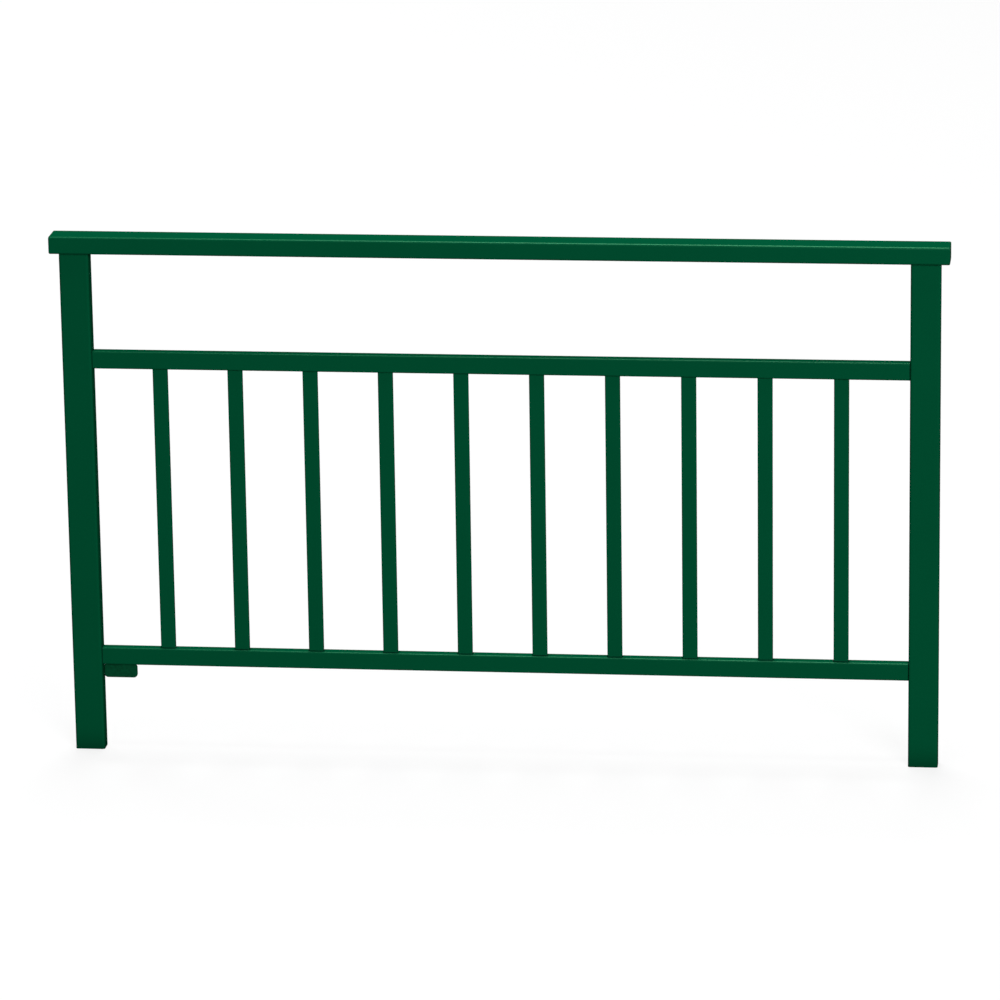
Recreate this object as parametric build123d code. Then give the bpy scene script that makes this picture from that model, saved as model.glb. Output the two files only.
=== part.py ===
"""Street barrier of welded steel tube: two posts, a handrail, two rails and ten balusters.

Frame in millimetres: the origin is the middle of the left post's foot, X runs along the barrier
towards the right post, Y runs through its depth away from the viewer and Z is up.
"""
import os

from build123d import *

os.makedirs("parts", exist_ok=True)

# Whole barrier
HANDRAIL_LENGTH = 1500.0
BARRIER_HEIGHT = 900.0
HANDRAIL_OVERHANG = 15.0

# Handrail tube, lying flat
HANDRAIL_DEPTH = 50.0
HANDRAIL_HEIGHT = 30.0
HANDRAIL_WALL = 2.0
HANDRAIL_RADIUS = 4.0

# Plates that close the handrail's ends
CAP_THICKNESS = 3.0
CAP_EDGE_RADIUS = 2.5

# Post tubes
POST_WIDTH = 50.0
POST_DEPTH = 30.0
POST_WALL = 2.0
POST_RADIUS = 4.0

# Middle and bottom rail tubes
RAIL_HEIGHT = 30.0
RAIL_DEPTH = 20.0
RAIL_WALL = 2.0
RAIL_RADIUS = 3.0
MID_RAIL_TOP = 700.0
BOTTOM_RAIL_TOP = 180.0

# Baluster tubes
BALUSTER_COUNT = 10
BALUSTER_WIDTH = 25.0
BALUSTER_DEPTH = 10.0
BALUSTER_WALL = 1.5
BALUSTER_RADIUS = 2.0
BALUSTER_END_GAP = 101.0

# Small plate under the bottom rail, beside the left post
PLATE_LENGTH = 57.5
PLATE_HEIGHT = 25.0
PLATE_THICKNESS = 4.0
PLATE_CORNER_RADIUS = 7.0
PLATE_EDGE_BEVEL = 1.0
PLATE_POST_GAP = 1.0

# Values that follow from the ones above
POST_HEIGHT = BARRIER_HEIGHT - HANDRAIL_HEIGHT
POST_PITCH = HANDRAIL_LENGTH - 2 * HANDRAIL_OVERHANG - POST_WIDTH
CLEAR_WIDTH = POST_PITCH - POST_WIDTH
RAIL_START = POST_WIDTH / 2
HANDRAIL_START = -POST_WIDTH / 2 - HANDRAIL_OVERHANG
HANDRAIL_END = HANDRAIL_START + HANDRAIL_LENGTH
HANDRAIL_MIDDLE_HEIGHT = BARRIER_HEIGHT - HANDRAIL_HEIGHT / 2
BALUSTER_LENGTH = MID_RAIL_TOP - RAIL_HEIGHT - BOTTOM_RAIL_TOP
BALUSTER_START = RAIL_START + BALUSTER_END_GAP + BALUSTER_WIDTH / 2
BALUSTER_SPAN = CLEAR_WIDTH - 2 * BALUSTER_END_GAP - BALUSTER_WIDTH
BALUSTER_PITCH = BALUSTER_SPAN / (BALUSTER_COUNT - 1)
PLATE_MIDDLE = RAIL_START + PLATE_POST_GAP + PLATE_LENGTH / 2
PLATE_TOP = BOTTOM_RAIL_TOP - RAIL_HEIGHT


def tube_section(first, second, wall, radius):
    """Rounded rectangular ring, first along the sketch's x and second along its y."""
    outer = RectangleRounded(first, second, radius)
    bore = RectangleRounded(first - 2 * wall, second - 2 * wall, radius - wall)
    return outer - bore


def upright_tube(x, z, width, depth, wall, radius, length):
    """Tube standing on the point x, z."""
    section = Plane(origin=(x, 0, z), x_dir=(1, 0, 0), z_dir=(0, 0, 1)) * tube_section(
        width, depth, wall, radius
    )
    return extrude(section, amount=length)


def level_tube(x, z, depth, height, wall, radius, length):
    """Tube running along X from x, with its middle at the height z."""
    section = Plane(origin=(x, 0, z), x_dir=(0, 1, 0), z_dir=(1, 0, 0)) * tube_section(
        depth, height, wall, radius
    )
    return extrude(section, amount=length)


def end_cap(x, outward):
    """Plate on the handrail's end face at x, its outer edge eased, facing the outward sign of X."""
    plane = Plane(
        origin=(x, 0, HANDRAIL_MIDDLE_HEIGHT), x_dir=(0, outward, 0), z_dir=(outward, 0, 0)
    )
    outline = RectangleRounded(HANDRAIL_DEPTH, HANDRAIL_HEIGHT, HANDRAIL_RADIUS)
    plate = extrude(plane * outline, amount=CAP_THICKNESS)
    outer_face = plate.faces().sort_by(Axis.X)[-1 if outward > 0 else 0]
    return fillet(outer_face.edges(), CAP_EDGE_RADIUS)


pieces = {}

# Posts
pieces["left_post"] = upright_tube(
    0, 0, POST_WIDTH, POST_DEPTH, POST_WALL, POST_RADIUS, POST_HEIGHT
)
pieces["right_post"] = upright_tube(
    POST_PITCH, 0, POST_WIDTH, POST_DEPTH, POST_WALL, POST_RADIUS, POST_HEIGHT
)

# Handrail and the plates at its ends
pieces["handrail"] = level_tube(
    HANDRAIL_START + CAP_THICKNESS,
    HANDRAIL_MIDDLE_HEIGHT,
    HANDRAIL_DEPTH,
    HANDRAIL_HEIGHT,
    HANDRAIL_WALL,
    HANDRAIL_RADIUS,
    HANDRAIL_LENGTH - 2 * CAP_THICKNESS,
)
pieces["left_end_cap"] = end_cap(HANDRAIL_START + CAP_THICKNESS, -1)
pieces["right_end_cap"] = end_cap(HANDRAIL_END - CAP_THICKNESS, 1)

# Rails between the posts
for name, top in (("mid_rail", MID_RAIL_TOP), ("bottom_rail", BOTTOM_RAIL_TOP)):
    pieces[name] = level_tube(
        RAIL_START,
        top - RAIL_HEIGHT / 2,
        RAIL_DEPTH,
        RAIL_HEIGHT,
        RAIL_WALL,
        RAIL_RADIUS,
        CLEAR_WIDTH,
    )

# Balusters between the rails
for index in range(BALUSTER_COUNT):
    pieces[f"baluster_{index + 1:02d}"] = upright_tube(
        BALUSTER_START + index * BALUSTER_PITCH,
        BOTTOM_RAIL_TOP,
        BALUSTER_WIDTH,
        BALUSTER_DEPTH,
        BALUSTER_WALL,
        BALUSTER_RADIUS,
        BALUSTER_LENGTH,
    )

# Plate under the bottom rail, its edges bevelled
plate_plane = Plane(
    origin=(PLATE_MIDDLE, PLATE_THICKNESS / 2, PLATE_TOP - PLATE_HEIGHT / 2),
    x_dir=(1, 0, 0),
    z_dir=(0, -1, 0),
)
plate_outline = RectangleRounded(PLATE_LENGTH, PLATE_HEIGHT, PLATE_CORNER_RADIUS)
plate = extrude(plate_plane * plate_outline, amount=PLATE_THICKNESS)
plate_sides = plate.faces().filter_by(Axis.Y)
pieces["marker_plate"] = chamfer(plate_sides.edges(), PLATE_EDGE_BEVEL)

for name, shape in pieces.items():
    shape.label = name
    export_step(shape, f"parts/{name}.step")
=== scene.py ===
"""Looks of the street barrier: paint, seams, floor, studio light and the photo's camera.

Lengths are in metres. X runs along the barrier, Y through its depth away from the viewer and Z up.
"""
import math
from collections import namedtuple

import bmesh
import bpy
from mathutils import Matrix, Vector


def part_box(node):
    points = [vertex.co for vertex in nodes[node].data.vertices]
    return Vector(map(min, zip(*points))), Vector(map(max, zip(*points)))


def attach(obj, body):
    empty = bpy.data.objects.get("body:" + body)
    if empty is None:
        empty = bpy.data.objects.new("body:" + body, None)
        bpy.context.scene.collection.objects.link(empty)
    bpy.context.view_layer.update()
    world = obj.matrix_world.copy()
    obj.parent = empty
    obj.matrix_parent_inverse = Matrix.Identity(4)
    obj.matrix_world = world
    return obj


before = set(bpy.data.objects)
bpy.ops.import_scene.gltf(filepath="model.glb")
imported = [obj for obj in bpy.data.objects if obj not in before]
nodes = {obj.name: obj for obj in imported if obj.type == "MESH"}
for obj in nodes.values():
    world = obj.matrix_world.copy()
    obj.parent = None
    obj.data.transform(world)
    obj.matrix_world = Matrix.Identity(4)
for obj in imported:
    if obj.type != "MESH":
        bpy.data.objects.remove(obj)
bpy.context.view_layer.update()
scene = bpy.context.scene

BODY = "root"
MM = 0.001
X = Vector((1, 0, 0))
Y = Vector((0, 1, 0))
Z = Vector((0, 0, 1))

# Paint colours, linear
PAINT_GREEN = (0.0003, 0.0641, 0.0253, 1.0)
PAINT_GREEN_LOW = (0.0003, 0.0621, 0.0245, 1.0)
# Painted shade: the posts' paint turns to this darker colour towards the ground
FOOT_SHADE_GREEN = (0.0003, 0.0378, 0.0150, 1.0)
# Painted shade: the plate's colours are darker for the shade under the bottom rail, and mottled for
# its lettering
PLATE_SHADE_GREEN = (0.0018, 0.0575, 0.0229, 1.0)
PLATE_SHADE_GREEN_LOW = (0.0018, 0.0411, 0.0163, 1.0)
# Painted shade: the seams' dark green stands for the shade in the corners where members meet
SEAM_SHADE_GREEN = (0.0003, 0.0218, 0.0092, 1.0)
SEAM_SHADE_GREEN_LOW = (0.0003, 0.0177, 0.0074, 1.0)

# Finish of the paint, with a clear coat that is stronger along the rounded upper edges
PAINT_METALLIC = 0.20
PAINT_SPECULAR_LEVEL = 0.0
PAINT_EDGE_TINT = (0.0, 0.10, 0.05, 1.0)
PAINT_ROUGHNESS = (0.30, 0.38)
FLAT_COAT_WEIGHT = 0.0005
EDGE_COAT_WEIGHT = 0.010
COAT_ROUGHNESS = 0.30
COAT_IOR = 4.0

# Noise in the paint: scale per metre, detail and roughness
DRIFT_NOISE = (6.0, 3.0, 0.5)
PLATE_NOISE = (260.0, 3.0, 0.5)
GLOSS_NOISE = (380.0, 2.0, 0.5)
WAVE_NOISE = (45.0, 1.0, 0.5)
PEEL_NOISE = (520.0, 2.0, 0.45)

# Part of each noise that is spread over the full change of tone or gloss
DRIFT_RANGE = (0.35, 0.65)
GLOSS_RANGE = (0.3, 0.7)

# Depth of the paint's waves and of its orange peel
WAVE_DEPTH = 0.10 * MM
PEEL_DEPTH = 0.04 * MM

# Painted shade at the feet of the posts, darker towards the ground: its height and how fast it fades
FOOT_HEIGHT = 50.0 * MM
FOOT_FADE = 2.0

# Bare zinc inside the posts
ZINC_LIGHT = (0.42, 0.43, 0.44, 1.0)
ZINC_DARK = (0.24, 0.25, 0.26, 1.0)
ZINC_METALLIC = 1.0
ZINC_ROUGHNESS = (0.42, 0.62)
SPANGLE_SCALE = 120.0

# Limits on a face's normal that make the face flat, upward or upright
FLAT_LEAST = 0.999
UPWARD_LEAST = 0.1
UPRIGHT_MOST = 0.5

# Corner radii of the tubes
POST_RADIUS = 4.0 * MM
RAIL_RADIUS = 3.0 * MM
BALUSTER_RADIUS = 2.0 * MM

# Seams: reach from the corner, spacing of the points around it, ripple and depth under the surfaces
BALUSTER_FOOT_SEAM = 1.3 * MM
BALUSTER_HEAD_SEAM = 0.5 * MM
RAIL_SEAM = 0.9 * MM
POST_SEAM = 0.5 * MM
SEAM_STEP = 0.9 * MM
SEAM_ARC_STEPS = 5
SEAM_RIPPLE_LENGTH = 2.4 * MM
SEAM_RIPPLE_SHARE = 0.06
SEAM_ROOT = 0.25 * MM
CORNER_STEPS_LEAST = 3

# Floor: white to the eye and in reflections, with a faint shadow, and dark to other light
FLOOR_SIZE = 400.0
FLOOR_LEVEL = -0.2 * MM
FLOOR_WHITE = (1.0, 1.0, 1.0, 1.0)
FLOOR_GLOW = 0.80
FLOOR_SHADOW_GREY = (0.12, 0.12, 0.12, 1.0)
FLOOR_PLAIN_GREY = (0.04, 0.04, 0.04, 1.0)

# Studio light: places from the barrier's middle, sizes in metres and power in watts
Softbox = namedtuple("Softbox", "name place width length power")
SOFTBOXES = (
    Softbox("key_softbox", Vector((5.0, -10.4, 4.2)), 4.9, 4.3, 1470.0),
    Softbox("top_softbox", Vector((-0.4, 1.9, 13.8)), 3.4, 11.0, 3000.0),
    Softbox("back_softbox", Vector((-8.0, 9.0, 2.5)), 4.5, 4.0, 780.0),
)
WORLD_COLOUR = (0.9, 0.95, 1.0, 1.0)
WORLD_STRENGTH = 0.06

# Camera at the photo's place: angles in degrees, lens and sensor in millimetres
CAMERA_PLACE = Vector((1.78297, -9.18689, 3.08148))
CAMERA_YAW = 6.6665
CAMERA_PITCH = 15.8773
CAMERA_ROLL = 0.8360
CAMERA_LENS = 206.478
CAMERA_SENSOR = 36.0
CAMERA_REACH = 500.0

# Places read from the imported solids
left_post_low, left_post_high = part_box("left_post")
right_post_low, right_post_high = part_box("right_post")
mid_rail_low, mid_rail_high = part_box("mid_rail")
bottom_rail_low, bottom_rail_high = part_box("bottom_rail")
handrail_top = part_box("handrail")[1].z
balusters = sorted(name for name in nodes if name.startswith("baluster_"))
barrier_middle = Vector(((left_post_low.x + right_post_high.x) / 2, 0.0, handrail_top / 2))


def new_material(name):
    """Material with its node tree and the shader in it."""
    material = bpy.data.materials.new(name)
    material.use_nodes = True
    tree = material.node_tree
    return material, tree, tree.nodes["Principled BSDF"]


def link(tree, source, output, target, entry):
    """Join two sockets of a node tree."""
    tree.links.new(source.outputs[output], target.inputs[entry])


def noise(tree, coordinates, scale, detail, roughness):
    """Noise texture in the object's own frame."""
    node = tree.nodes.new("ShaderNodeTexNoise")
    node.inputs["Scale"].default_value = scale
    node.inputs["Detail"].default_value = detail
    node.inputs["Roughness"].default_value = roughness
    link(tree, coordinates, "Object", node, "Vector")
    return node


def remap(tree, source, output, old_range, new_range):
    """Clamped map of a value from one range to another."""
    node = tree.nodes.new("ShaderNodeMapRange")
    node.inputs["From Min"].default_value = old_range[0]
    node.inputs["From Max"].default_value = old_range[1]
    node.inputs["To Min"].default_value = new_range[0]
    node.inputs["To Max"].default_value = new_range[1]
    link(tree, source, output, node, "Value")
    return node


def bump(tree, height, depth, below=None):
    """Bump of a noise texture, laid over another bump where one is given."""
    node = tree.nodes.new("ShaderNodeBump")
    node.inputs["Strength"].default_value = 1.0
    node.inputs["Distance"].default_value = depth
    link(tree, height, "Fac", node, "Height")
    if below is not None:
        link(tree, below, "Normal", node, "Normal")
    return node


def mix_colours(tree, factor, output, first, second):
    """Colour between two fixed colours."""
    node = tree.nodes.new("ShaderNodeMix")
    node.data_type = "RGBA"
    node.inputs["A"].default_value = first
    node.inputs["B"].default_value = second
    link(tree, factor, output, node, "Factor")
    return node


def painted_foot_shade(tree, coordinates, colour, foot):
    """Colour that turns into the foot's painted shade towards the ground."""
    axes = tree.nodes.new("ShaderNodeSeparateXYZ")
    link(tree, coordinates, "Object", axes, "Vector")
    nearness = remap(tree, axes, "Z", (0.0, FOOT_HEIGHT), (1.0, 0.0))
    share = tree.nodes.new("ShaderNodeMath")
    share.operation = "POWER"
    share.inputs[1].default_value = FOOT_FADE
    link(tree, nearness, "Result", share, 0)
    mixed = mix_colours(tree, share, "Value", foot, foot)
    link(tree, colour, "Result", mixed, "A")
    return mixed


def paint_material(name, low, high, drift=DRIFT_NOISE, foot=None, coat=FLAT_COAT_WEIGHT):
    """Satin powder coat with uneven tone and a fine orange peel, with painted shade darkening the
    foot if asked.
    """
    material, tree, shader = new_material(name)
    shader.inputs["Metallic"].default_value = PAINT_METALLIC
    shader.inputs["Specular IOR Level"].default_value = PAINT_SPECULAR_LEVEL
    shader.inputs["Specular Tint"].default_value = PAINT_EDGE_TINT
    shader.inputs["Coat Weight"].default_value = coat
    shader.inputs["Coat Roughness"].default_value = COAT_ROUGHNESS
    shader.inputs["Coat IOR"].default_value = COAT_IOR
    place = tree.nodes.new("ShaderNodeTexCoord")

    tone = remap(tree, noise(tree, place, *drift), "Fac", DRIFT_RANGE, (0.0, 1.0))
    colour = mix_colours(tree, tone, "Result", low, high)
    if foot is not None:
        colour = painted_foot_shade(tree, place, colour, foot)
    link(tree, colour, "Result", shader, "Base Color")

    gloss = remap(tree, noise(tree, place, *GLOSS_NOISE), "Fac", GLOSS_RANGE, PAINT_ROUGHNESS)
    link(tree, gloss, "Result", shader, "Roughness")

    waves = bump(tree, noise(tree, place, *WAVE_NOISE), WAVE_DEPTH)
    peel = bump(tree, noise(tree, place, *PEEL_NOISE), PEEL_DEPTH, waves)
    link(tree, peel, "Normal", shader, "Normal")
    link(tree, peel, "Normal", shader, "Coat Normal")
    return material


def zinc_material():
    """Bare spangled zinc."""
    material, tree, shader = new_material("zinc_inside")
    shader.inputs["Metallic"].default_value = ZINC_METALLIC
    place = tree.nodes.new("ShaderNodeTexCoord")
    spangle = tree.nodes.new("ShaderNodeTexVoronoi")
    spangle.inputs["Scale"].default_value = SPANGLE_SCALE
    link(tree, place, "Object", spangle, "Vector")
    colour = mix_colours(tree, spangle, "Distance", ZINC_LIGHT, ZINC_DARK)
    link(tree, colour, "Result", shader, "Base Color")
    gloss = remap(tree, spangle, "Distance", (0.0, 1.0), ZINC_ROUGHNESS)
    link(tree, gloss, "Result", shader, "Roughness")
    return material


paint = paint_material("green_powder_coat", PAINT_GREEN_LOW, PAINT_GREEN)
# Posts' paint, with painted shade darkening it towards the ground
post_paint_and_foot_shade = paint_material("green_powder_coat_posts", PAINT_GREEN_LOW, PAINT_GREEN, foot=FOOT_SHADE_GREEN)
# Plate's paint: darker as painted shade under the bottom rail, mottled for its lettering
plate_paint_and_shade = paint_material("green_powder_coat_plate", PLATE_SHADE_GREEN_LOW, PLATE_SHADE_GREEN, PLATE_NOISE)
# Seams' paint: dark green as painted shade in the corners
seam_shade_paint = paint_material("green_powder_coat_seams", SEAM_SHADE_GREEN_LOW, SEAM_SHADE_GREEN)
edge_paint = paint_material(
    "green_powder_coat_edges", PAINT_GREEN_LOW, PAINT_GREEN, coat=EDGE_COAT_WEIGHT
)
zinc = zinc_material()

# Paint on every solid; darker and mottled on the small plate: painted shade from the bottom rail
# above it, with a mottle for its lettering
for solid in nodes.values():
    solid.data.materials.clear()
    solid.data.materials.append(paint)
nodes["marker_plate"].data.materials[0] = plate_paint_and_shade

# Glossier paint along the rounded upper edges of the handrail, its caps and the rails
for name in ("handrail", "left_end_cap", "right_end_cap", "mid_rail", "bottom_rail"):
    mesh = nodes[name].data
    mesh.materials.append(edge_paint)
    for polygon in mesh.polygons:
        flat = max(abs(part) for part in polygon.normal) > FLAT_LEAST
        upward = polygon.normal.z > UPWARD_LEAST
        polygon.material_index = 1 if upward and not flat else 0

# Posts, which are open at the foot: bare zinc on their inner walls
for name in ("left_post", "right_post"):
    low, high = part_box(name)
    axis = (low + high) / 2
    mesh = nodes[name].data
    mesh.materials[0] = post_paint_and_foot_shade
    mesh.materials.append(zinc)
    for polygon in mesh.polygons:
        from_axis = polygon.center - axis
        facing = polygon.normal.x * from_axis.x + polygon.normal.y * from_axis.y
        upright = abs(polygon.normal.z) < UPRIGHT_MOST
        polygon.material_index = 1 if upright and facing < 0 else 0


def rounded_outline(width, height, radius):
    """Points and outward normals around a rounded rectangle, evenly close, anticlockwise."""
    half_width = width / 2 - radius
    half_height = height / 2 - radius
    corners = (
        (half_width, half_height, 0),
        (-half_width, half_height, 90),
        (-half_width, -half_height, 180),
        (half_width, -half_height, 270),
    )
    points = []
    arc_steps = max(CORNER_STEPS_LEAST, round(radius * math.pi / 2 / SEAM_STEP))
    for index, (x, y, start) in enumerate(corners):
        for count in range(arc_steps + 1):
            angle = math.radians(start + 90 * count / arc_steps)
            normal = Vector((math.cos(angle), math.sin(angle)))
            points.append((Vector((x, y)) + radius * normal, normal))
        next_x, next_y, next_start = corners[(index + 1) % len(corners)]
        first, normal = points[-1]
        angle = math.radians(next_start)
        last = Vector((next_x, next_y)) + radius * Vector((math.cos(angle), math.sin(angle)))
        straight_steps = max(1, round((last - first).length / SEAM_STEP))
        for count in range(1, straight_steps):
            points.append((first.lerp(last, count / straight_steps), normal))
    return points


# Where a member's end meets a face, with the member's section and the reach of its seam
Seat = namedtuple("Seat", "origin across up away width height radius reach")


def add_seam(mesh, seat):
    """Hollow seam in the corner all around a member's end, closed under both surfaces."""
    outline = rounded_outline(seat.width, seat.height, seat.radius)
    rows = []
    travelled = 0.0
    previous = outline[-1][0]
    for point, normal in outline:
        travelled += (point - previous).length
        previous = point
        ripple = math.sin(2 * math.pi * travelled / SEAM_RIPPLE_LENGTH)
        reach = seat.reach * (1.0 + SEAM_RIPPLE_SHARE * ripple)
        base = seat.origin + seat.across * point.x + seat.up * point.y
        outward = seat.across * normal.x + seat.up * normal.y
        row = [
            base - outward * SEAM_ROOT - seat.away * SEAM_ROOT,
            base + outward * reach - seat.away * SEAM_ROOT,
        ]
        for count in range(SEAM_ARC_STEPS + 1):
            angle = math.pi / 2 * count / SEAM_ARC_STEPS
            over_face = outward * reach * (1 - math.sin(angle))
            along_member = seat.away * reach * (1 - math.cos(angle))
            row.append(base + over_face + along_member)
        row.append(base - outward * SEAM_ROOT + seat.away * reach)
        rows.append([mesh.verts.new(position) for position in row])
    for index, row in enumerate(rows):
        following = rows[(index + 1) % len(rows)]
        for count in range(len(row)):
            after = (count + 1) % len(row)
            mesh.faces.new((row[count], following[count], following[after], row[after]))


def seam_piece(name, seats):
    """Object made of the seams at some seats, in dark paint that paints the shade in the corners,
    riding on the barrier.
    """
    mesh = bmesh.new()
    for seat in seats:
        add_seam(mesh, seat)
    bmesh.ops.recalc_face_normals(mesh, faces=mesh.faces)
    data = bpy.data.meshes.new(name)
    mesh.to_mesh(data)
    mesh.free()
    data.shade_smooth()
    data.materials.append(seam_shade_paint)
    piece = bpy.data.objects.new(name, data)
    scene.collection.objects.link(piece)
    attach(piece, BODY)


def baluster_seats(level, away, reach):
    """Seats at one end of all the balusters."""
    seats = []
    for name in balusters:
        low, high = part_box(name)
        origin = (low + high) / 2
        origin.z = level
        size = high - low
        seats.append(Seat(origin, X, Y, away, size.x, size.y, BALUSTER_RADIUS, reach))
    return seats


def rail_seats(face, away):
    """Seats at one end of both rails."""
    seats = []
    for low, high in ((mid_rail_low, mid_rail_high), (bottom_rail_low, bottom_rail_high)):
        origin = (low + high) / 2
        origin.x = face
        size = high - low
        seats.append(Seat(origin, Y, Z, away, size.y, size.z, RAIL_RADIUS, RAIL_SEAM))
    return seats


def post_seats():
    """Seats at the tops of both posts, under the handrail."""
    seats = []
    for low, high in ((left_post_low, left_post_high), (right_post_low, right_post_high)):
        origin = (low + high) / 2
        origin.z = high.z
        size = high - low
        seats.append(Seat(origin, X, Y, -Z, size.x, size.y, POST_RADIUS, POST_SEAM))
    return seats


seam_piece("seams_baluster_feet", baluster_seats(bottom_rail_high.z, Z, BALUSTER_FOOT_SEAM))
seam_piece("seams_baluster_heads", baluster_seats(mid_rail_low.z, -Z, BALUSTER_HEAD_SEAM))
seam_piece("seams_left_post", rail_seats(left_post_high.x, X))
seam_piece("seams_right_post", rail_seats(right_post_low.x, -X))
seam_piece("seams_handrail", post_seats())


def larger(tree, first, first_output, second, second_output):
    """The larger of two values."""
    node = tree.nodes.new("ShaderNodeMath")
    node.operation = "MAXIMUM"
    link(tree, first, first_output, node, 0)
    link(tree, second, second_output, node, 1)
    return node


def matt_shader(tree, colour):
    """Plain diffuse shader of one colour."""
    node = tree.nodes.new("ShaderNodeBsdfDiffuse")
    node.inputs["Color"].default_value = colour
    return node


def floor_material():
    """White floor that keeps a soft shadow and throws little light back up."""
    material, tree, shader = new_material("pale_floor")
    tree.nodes.remove(shader)
    path = tree.nodes.new("ShaderNodeLightPath")
    seen = larger(tree, path, "Is Camera Ray", path, "Is Glossy Ray")
    shown = larger(tree, seen, "Value", path, "Is Transmission Ray")
    glow = tree.nodes.new("ShaderNodeEmission")
    glow.inputs["Color"].default_value = FLOOR_WHITE
    glow.inputs["Strength"].default_value = FLOOR_GLOW
    white = tree.nodes.new("ShaderNodeAddShader")
    link(tree, glow, "Emission", white, 0)
    link(tree, matt_shader(tree, FLOOR_SHADOW_GREY), "BSDF", white, 1)
    choice = tree.nodes.new("ShaderNodeMixShader")
    link(tree, shown, "Value", choice, 0)
    link(tree, matt_shader(tree, FLOOR_PLAIN_GREY), "BSDF", choice, 1)
    link(tree, white, "Shader", choice, 2)
    link(tree, choice, "Shader", tree.nodes["Material Output"], "Surface")
    return material


def add_floor():
    """Level square under the barrier."""
    half = FLOOR_SIZE / 2
    corners = [(-half, -half), (half, -half), (half, half), (-half, half)]
    mesh = bpy.data.meshes.new("floor")
    mesh.from_pydata([(x, y, FLOOR_LEVEL) for x, y in corners], [], [(0, 1, 2, 3)])
    mesh.materials.append(floor_material())
    floor = bpy.data.objects.new("floor", mesh)
    scene.collection.objects.link(floor)


def add_softbox(softbox):
    """Area lamp aimed at the barrier's middle, its width along X."""
    lamp = bpy.data.lights.new(softbox.name, "AREA")
    lamp.shape = "RECTANGLE"
    lamp.size = softbox.width
    lamp.size_y = softbox.length
    lamp.energy = softbox.power
    holder = bpy.data.objects.new(softbox.name, lamp)
    scene.collection.objects.link(holder)
    back = softbox.place.normalized()
    across = (X - back * back.x).normalized()
    turned = Matrix((across, back.cross(across), back)).transposed()
    holder.matrix_world = Matrix.Translation(barrier_middle + softbox.place) @ turned.to_4x4()


def add_world():
    """Faint even light from all around."""
    world = bpy.data.worlds.new("studio")
    scene.world = world
    world.use_nodes = True
    background = world.node_tree.nodes["Background"]
    background.inputs["Color"].default_value = WORLD_COLOUR
    background.inputs["Strength"].default_value = WORLD_STRENGTH


def add_camera():
    """Camera turned by its yaw, pitch and roll."""
    yaw = math.radians(CAMERA_YAW)
    pitch = math.radians(CAMERA_PITCH)
    roll = math.radians(CAMERA_ROLL)
    level_ahead = Vector((-math.sin(yaw), math.cos(yaw), 0.0))
    forward = level_ahead * math.cos(pitch) - Z * math.sin(pitch)
    level = Vector((math.cos(yaw), math.sin(yaw), 0.0))
    down = forward.cross(level)
    right = math.cos(roll) * level + math.sin(roll) * down
    under = -math.sin(roll) * level + math.cos(roll) * down

    lens = bpy.data.cameras.new("photo_camera")
    lens.lens = CAMERA_LENS
    lens.sensor_width = CAMERA_SENSOR
    lens.clip_end = CAMERA_REACH
    camera = bpy.data.objects.new("photo_camera", lens)
    scene.collection.objects.link(camera)
    turned = Matrix((right, -under, -forward)).transposed()
    camera.matrix_world = Matrix.Translation(CAMERA_PLACE) @ turned.to_4x4()
    bpy.context.scene.camera = camera


add_floor()
for softbox in SOFTBOXES:
    add_softbox(softbox)
add_world()
add_camera()
bpy.context.scene.view_settings.view_transform = "Standard"
